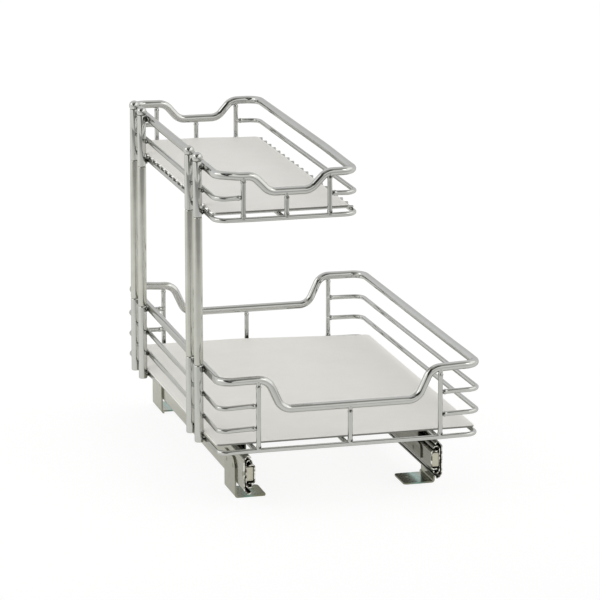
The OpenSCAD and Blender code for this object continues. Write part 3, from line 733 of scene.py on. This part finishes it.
# stop blocks: rounded moulding with a shallow recess in its front face
for side, tag, mid in ((-1, "left", "middle_left"), (1, "right", "middle_right")):
    m = Mesh()
    u0, u1, v = 3.5, 11.05, 7.65
    def ring(inset, y):
        r = max(0.3, 1.3 - inset)
        pts = []
        for cu, cv, a0 in ((u1 - inset - r, v - inset - r, 0), (u0 + inset + r, v - inset - r, 90), (u0 + inset + r, -v + inset + r, 180), (u1 - inset - r, -v + inset + r, 270)):
            pts += [(cu + r * math.cos(math.radians(a)), cv + r * math.sin(math.radians(a))) for a in np.linspace(a0, a0 + 90, 6)]
        return [(side * (SX - u), y, SZ + w) for u, w in pts]
    yf = SY0 + 1.52
    rings = [ring(1.6, yf + 0.45), ring(1.3, yf + 0.4), ring(1.05, yf + 0.06), ring(0.55, yf), ring(0.18, yf + 0.15), ring(0, yf + 0.55), ring(0, SY0 + 12.5), ring(0.4, SY0 + 12.98)]
    k = len(rings[0])
    verts = [q for rr in rings for q in rr]
    faces = [(i * k + q, i * k + (q + 1) % k, (i + 1) * k + (q + 1) % k, (i + 1) * k + q) for i in range(len(rings) - 1) for q in range(k)]
    faces += [tuple(range(k))[::-1], tuple(range((len(rings) - 1) * k, len(rings) * k))]
    m.add(verts, faces)
    m.obj("stop_block_" + tag, BUMPER, mid, ["bumper_" + tag], 40)


# ------------------------------------------------------------------ liners
def liner(name, node, x0, x1, y0, y1, z0, t, r, rise):
    """Thin sheet laid on the floor wires: rounded corners, softened edges, bent by rise."""
    ends = [r - r * math.cos(math.radians(a)) for a in (0, 15, 30, 45, 60, 75, 90)]
    back = [r - r * math.sin(math.radians(a)) for a in (0, 15, 30, 45, 60, 75, 90)]
    rows = [(y0 + d, h) for d, h in zip(ends, back)]
    rows += [(y, 0.0) for y in np.linspace(y0 + r, y1 - r, 60)[1:-1]]
    rows += [(y1 - d, h) for d, h in zip(ends[::-1], back[::-1])]
    across = np.r_[np.linspace(0, 0.12, 9), np.linspace(0.12, 1, 30)[1:]]
    mx, my = (x0 + x1) / 2, (y0 + y1) / 2

    def grid(inset, z):
        fx, fy = (x1 - x0 - 2 * inset) / (x1 - x0), (y1 - y0 - 2 * inset) / (y1 - y0)
        return [rise(np.array([[mx + (x0 + h + u * (x1 - x0 - 2 * h) - mx) * fx, my + (y - my) * fy, z] for u in across])) for y, h in rows]

    nr, nc = len(rows), len(across)
    rim = [(0, i) for i in range(nc)] + [(j, nc - 1) for j in range(1, nr)] + [(nr - 1, i) for i in range(nc - 2, -1, -1)] + [(j, 0) for j in range(nr - 2, 0, -1)]
    verts, faces = [], []
    e = 0.45
    base = []
    for inset, z in ((e, z0), (e, z0 + t)):
        base.append(len(verts))
        verts += [tuple(q) for row in grid(inset, z) for q in row]
    for b0 in base:
        for j in range(nr - 1):
            for i in range(nc - 1):
                q = b0 + j * nc + i
                faces.append((q, q + 1, q + nc + 1, q + nc))
    loops = [[base[0] + j * nc + i for j, i in rim]]
    for inset, z in ((0.12, z0 + 0.12), (0, z0 + e), (0, z0 + t - e), (0.12, z0 + t - 0.12)):
        g = grid(inset, z)
        loops.append(list(range(len(verts), len(verts) + len(rim))))
        verts += [tuple(g[j][i]) for j, i in rim]
    loops.append([base[1] + j * nc + i for j, i in rim])
    k = len(rim)
    for p, q in zip(loops, loops[1:]):
        for i in range(k):
            faces.append((p[i], p[(i + 1) % k], q[(i + 1) % k], q[i]))
    m = Mesh()
    m.add(verts, faces)
    m.obj(name, LINER, "drawer", [node], 50)


def lower_floor(V):
    """The lower sheet curls up at the back towards the posts and droops over the frame wire at its left edge."""
    x, y = V[:, 0].copy(), V[:, 1].copy()
    t = np.clip(0.035 * (133 - x), 0, 5.2)
    V[:, 1] += 1.75 * t * step01((y + 40) / 215)
    V[:, 2] += 0.6 * t * step01((y - 20) / 155) * (1 - 0.85 * step01((-124 - x) / 17))
    V[:, 2] -= 1.1 * step01((-128 - x) / 13) * step01((y + 150) / 60) * step01((120 - y) / 40)
    return V


liner("lower_liner_sheet", "lower_liner", LX0 - 4.4, LX1 - 1.1, LY0 + 6, LY1 - 22.5, LC + R_CROSS, 2, 5, lower_floor)
liner("upper_liner_sheet", "upper_liner", UX0 - 1.1, UX1 - 4.5, UY0 + 7, UY1 - 17, UC + R_CROSS, 2, 4, floor_set)

# ------------------------------------------------------------------ stage
def curve_ramp(nt, fac, stops, top):
    """Brightness along fac, from (place, value) stops, values up to top."""
    c = ramp(nt, fac, [(p, (v / top,) * 3) for p, v in stops])
    bw = nt.nodes.new("ShaderNodeRGBToBW")
    nt.links.new(c, bw.inputs[0])
    return math_node(nt, "MULTIPLY", bw.outputs[0], top)


floor = bpy.data.meshes.new("floor")
bmf = bmesh.new()
bmesh.ops.create_circle(bmf, cap_ends=True, segments=96, radius=14.0)
bmf.to_mesh(floor)
bmf.free()
fo = bpy.data.objects.new("floor", floor)
scene.collection.objects.link(fo)
# a pale table with a painted pool of light: its colour is lighter where the object stands and darker towards the
# photographer; the sheet glows a little, as a lit table does, so the shadow under the basket stays faint
fm, fnt, fb, fco = material("floor_paper")
fsep = fnt.nodes.new("ShaderNodeSeparateXYZ")
fnt.links.new(fco, fsep.inputs[0])
shade = curve_ramp(fnt, maprange(fnt, fsep.outputs["Y"], -3.0, 0.0, 0.0, 1.0),
                   [(0.0, 0.40), (0.45, 0.52), (0.60, 0.66), (0.78, 0.76), (0.86, 0.86), (0.94, 0.93), (1.0, 0.93)], 1.0)
grain = maprange(fnt, noise(fnt, fco, 3.0, 4), 0.3, 0.7, 0.985, 1.0)
tone = math_node(fnt, "MULTIPLY", shade, grain)
fcol = fnt.nodes.new("ShaderNodeCombineColor")
for i in range(3):
    fnt.links.new(tone, fcol.inputs[i])
fnt.links.new(fcol.outputs[0], fb.inputs["Base Color"])
fb.inputs["Roughness"].default_value = 0.9
fb.inputs["Specular IOR Level"].default_value = 0.0
lp = fnt.nodes.new("ShaderNodeLightPath")
seen = lp.outputs["Is Camera Ray"]
# painted light in what the chrome sees of the table: the glow is strong round the object and dim near the photographer
mirror = curve_ramp(fnt, maprange(fnt, fsep.outputs["Y"], -3.0, 1.0, 0.0, 1.0),
                    [(0.0, 0.42), (0.36, 0.52), (0.45, 0.82), (0.53, 0.90), (0.60, 0.92), (0.66, 1.08), (0.75, 1.18), (0.85, 1.30), (1.0, 1.30)], 1.5)
glow = fnt.nodes.new("ShaderNodeEmission")
tinted = fnt.nodes.new("ShaderNodeMix")
tinted.data_type = "RGBA"
fnt.links.new(seen, tinted.inputs["Factor"])
tinted.inputs["A"].default_value = (1.0, 0.995, 0.965, 1)
tinted.inputs["B"].default_value = (1, 1, 1, 1)
fnt.links.new(tinted.outputs["Result"], glow.inputs["Color"])
bright = math_node(fnt, "ADD", math_node(fnt, "MULTIPLY", seen, 1.08), math_node(fnt, "MULTIPLY", math_node(fnt, "SUBTRACT", 1.0, seen), mirror))
fnt.links.new(bright, glow.inputs["Strength"])
mixs = fnt.nodes.new("ShaderNodeMixShader")
fnt.links.new(math_node(fnt, "ADD", 0.5, math_node(fnt, "MULTIPLY", seen, 0.3)), mixs.inputs["Fac"])
fnt.links.new(fb.outputs[0], mixs.inputs[1])
fnt.links.new(glow.outputs[0], mixs.inputs[2])
fnt.links.new(mixs.outputs[0], fnt.nodes["Material Output"].inputs["Surface"])
floor.materials.append(fm)

# soft studio light: a white tent with a dark slot over the front half and light boxes at each side
world = bpy.data.worlds.new("studio")
scene.world = world
world.use_nodes = True
wn = world.node_tree
bg = wn.nodes["Background"]
wtc = wn.nodes.new("ShaderNodeTexCoord")
direction = wtc.outputs["Generated"]
sep = wn.nodes.new("ShaderNodeSeparateXYZ")
wn.links.new(direction, sep.inputs["Vector"])
front = math_node(wn, "MULTIPLY", sep.outputs["Y"], -1.0)
theta = math_node(wn, "DIVIDE", math_node(wn, "ARCTAN2", sep.outputs["Z"], front), math.pi)
UNDER = [(0, 0.93), (25, 0.95), (60, 0.91), (80, 0.85), (94, 0.84), (104, 0.86), (130, 0.88), (148, 0.98), (160, 1.06), (180, 1.08)]
light = curve_ramp(wn, theta, [(t / 180.0, v) for t, v in UNDER], 3.0)
# dark ceiling over the front half
up = wn.nodes.new("ShaderNodeMapRange")
up.interpolation_type = "SMOOTHSTEP"
up.inputs["From Min"].default_value, up.inputs["From Max"].default_value = math.sin(math.radians(42)), math.sin(math.radians(50))
wn.links.new(sep.outputs["Z"], up.inputs["Value"])
fore = wn.nodes.new("ShaderNodeMapRange")
fore.interpolation_type = "SMOOTHSTEP"
fore.inputs["From Min"].default_value, fore.inputs["From Max"].default_value = -0.02, 0.12
wn.links.new(front, fore.inputs["Value"])
dark = math_node(wn, "MULTIPLY", up.outputs["Result"], fore.outputs["Result"])
light = math_node(wn, "ADD", math_node(wn, "MULTIPLY", light, math_node(wn, "SUBTRACT", 1.0, dark)), math_node(wn, "MULTIPLY", dark, 0.36))


def patch(light, az, el, inner, outer, value):
    """A soft-edged disc of light (or dark) in the tent; az is from straight ahead of the object towards +X."""
    a, e = math.radians(az), math.radians(el)
    v = wn.nodes.new("ShaderNodeVectorMath")
    v.operation = "DOT_PRODUCT"
    wn.links.new(direction, v.inputs[0])
    v.inputs[1].default_value = (math.sin(a) * math.cos(e), -math.cos(a) * math.cos(e), math.sin(e))
    r = wn.nodes.new("ShaderNodeMapRange")
    r.interpolation_type = "SMOOTHSTEP"
    r.inputs["From Min"].default_value = math.cos(math.radians(outer))
    r.inputs["From Max"].default_value = math.cos(math.radians(inner))
    wn.links.new(v.outputs["Value"], r.inputs["Value"])
    m = r.outputs["Result"]
    keep = math_node(wn, "MULTIPLY", light, math_node(wn, "SUBTRACT", 1.0, m))
    return math_node(wn, "ADD", keep, math_node(wn, "MULTIPLY", m, value))


# light boxes left and right, then the dark shapes in front: stand, photographer and camera
for az, el, inner, outer, value in (
    (52, 30, 14, 26, 1.36), (88, 36, 12, 23, 1.38), (38, 40, 7, 12, 2.3),
    (-98, 30, 9, 17, 2.2), (-82, 38, 8, 14, 1.9), (-70, 26, 8, 15, 1.35),
    (-50, 43, 10, 17, 0.07), (-38, 32, 11, 18, 0.05), (-27, 20, 11, 17, 0.04), (-16, 9, 8, 13, 0.06), (-12, 36, 10, 16, 0.12), (2, 45, 10, 16, 0.06),
):
    light = patch(light, az, el, inner, outer, value)
hue = ramp(wn, math_node(wn, "ADD", 0.5, math_node(wn, "MULTIPLY", sep.outputs["Y"], 0.5)), [(0.0, (1.0, 0.992, 0.965)), (0.55, (1.0, 0.992, 0.965)), (0.85, (0.975, 0.982, 1.0))])
wn.links.new(hue, bg.inputs["Color"])
wn.links.new(light, bg.inputs["Strength"])
bg2 = wn.nodes.new("ShaderNodeBackground")
bg2.inputs["Color"].default_value = (1, 1, 1, 1)
bg2.inputs["Strength"].default_value = 1.0
wlp = wn.nodes.new("ShaderNodeLightPath")
wmix = wn.nodes.new("ShaderNodeMixShader")
wn.links.new(wlp.outputs["Is Camera Ray"], wmix.inputs["Fac"])
wn.links.new(bg.outputs[0], wmix.inputs[1])
wn.links.new(bg2.outputs[0], wmix.inputs[2])
wn.links.new(wmix.outputs[0], wn.nodes["World Output"].inputs["Surface"])

# ------------------------------------------------------------------ camera
cam = bpy.data.cameras.new("camera")
co = bpy.data.objects.new("camera", cam)
scene.collection.objects.link(co)
scene.camera = co
cam.sensor_width = 36.0
cam.lens = 215.75
cam.clip_start, cam.clip_end = 0.1, 60.0
co.location = (-1.0145, -3.7955, 1.1318)
az, el = math.radians(-15.158), math.radians(13.818)
fwd = Vector((-math.sin(az) * math.cos(el), math.cos(az) * math.cos(el), -math.sin(el)))
co.rotation_mode = "QUATERNION"
co.rotation_quaternion = fwd.to_track_quat("-Z", "Y")

scene.view_settings.view_transform = "Standard"
scene.view_settings.look = "None"
scene.view_settings.exposure = 0.0
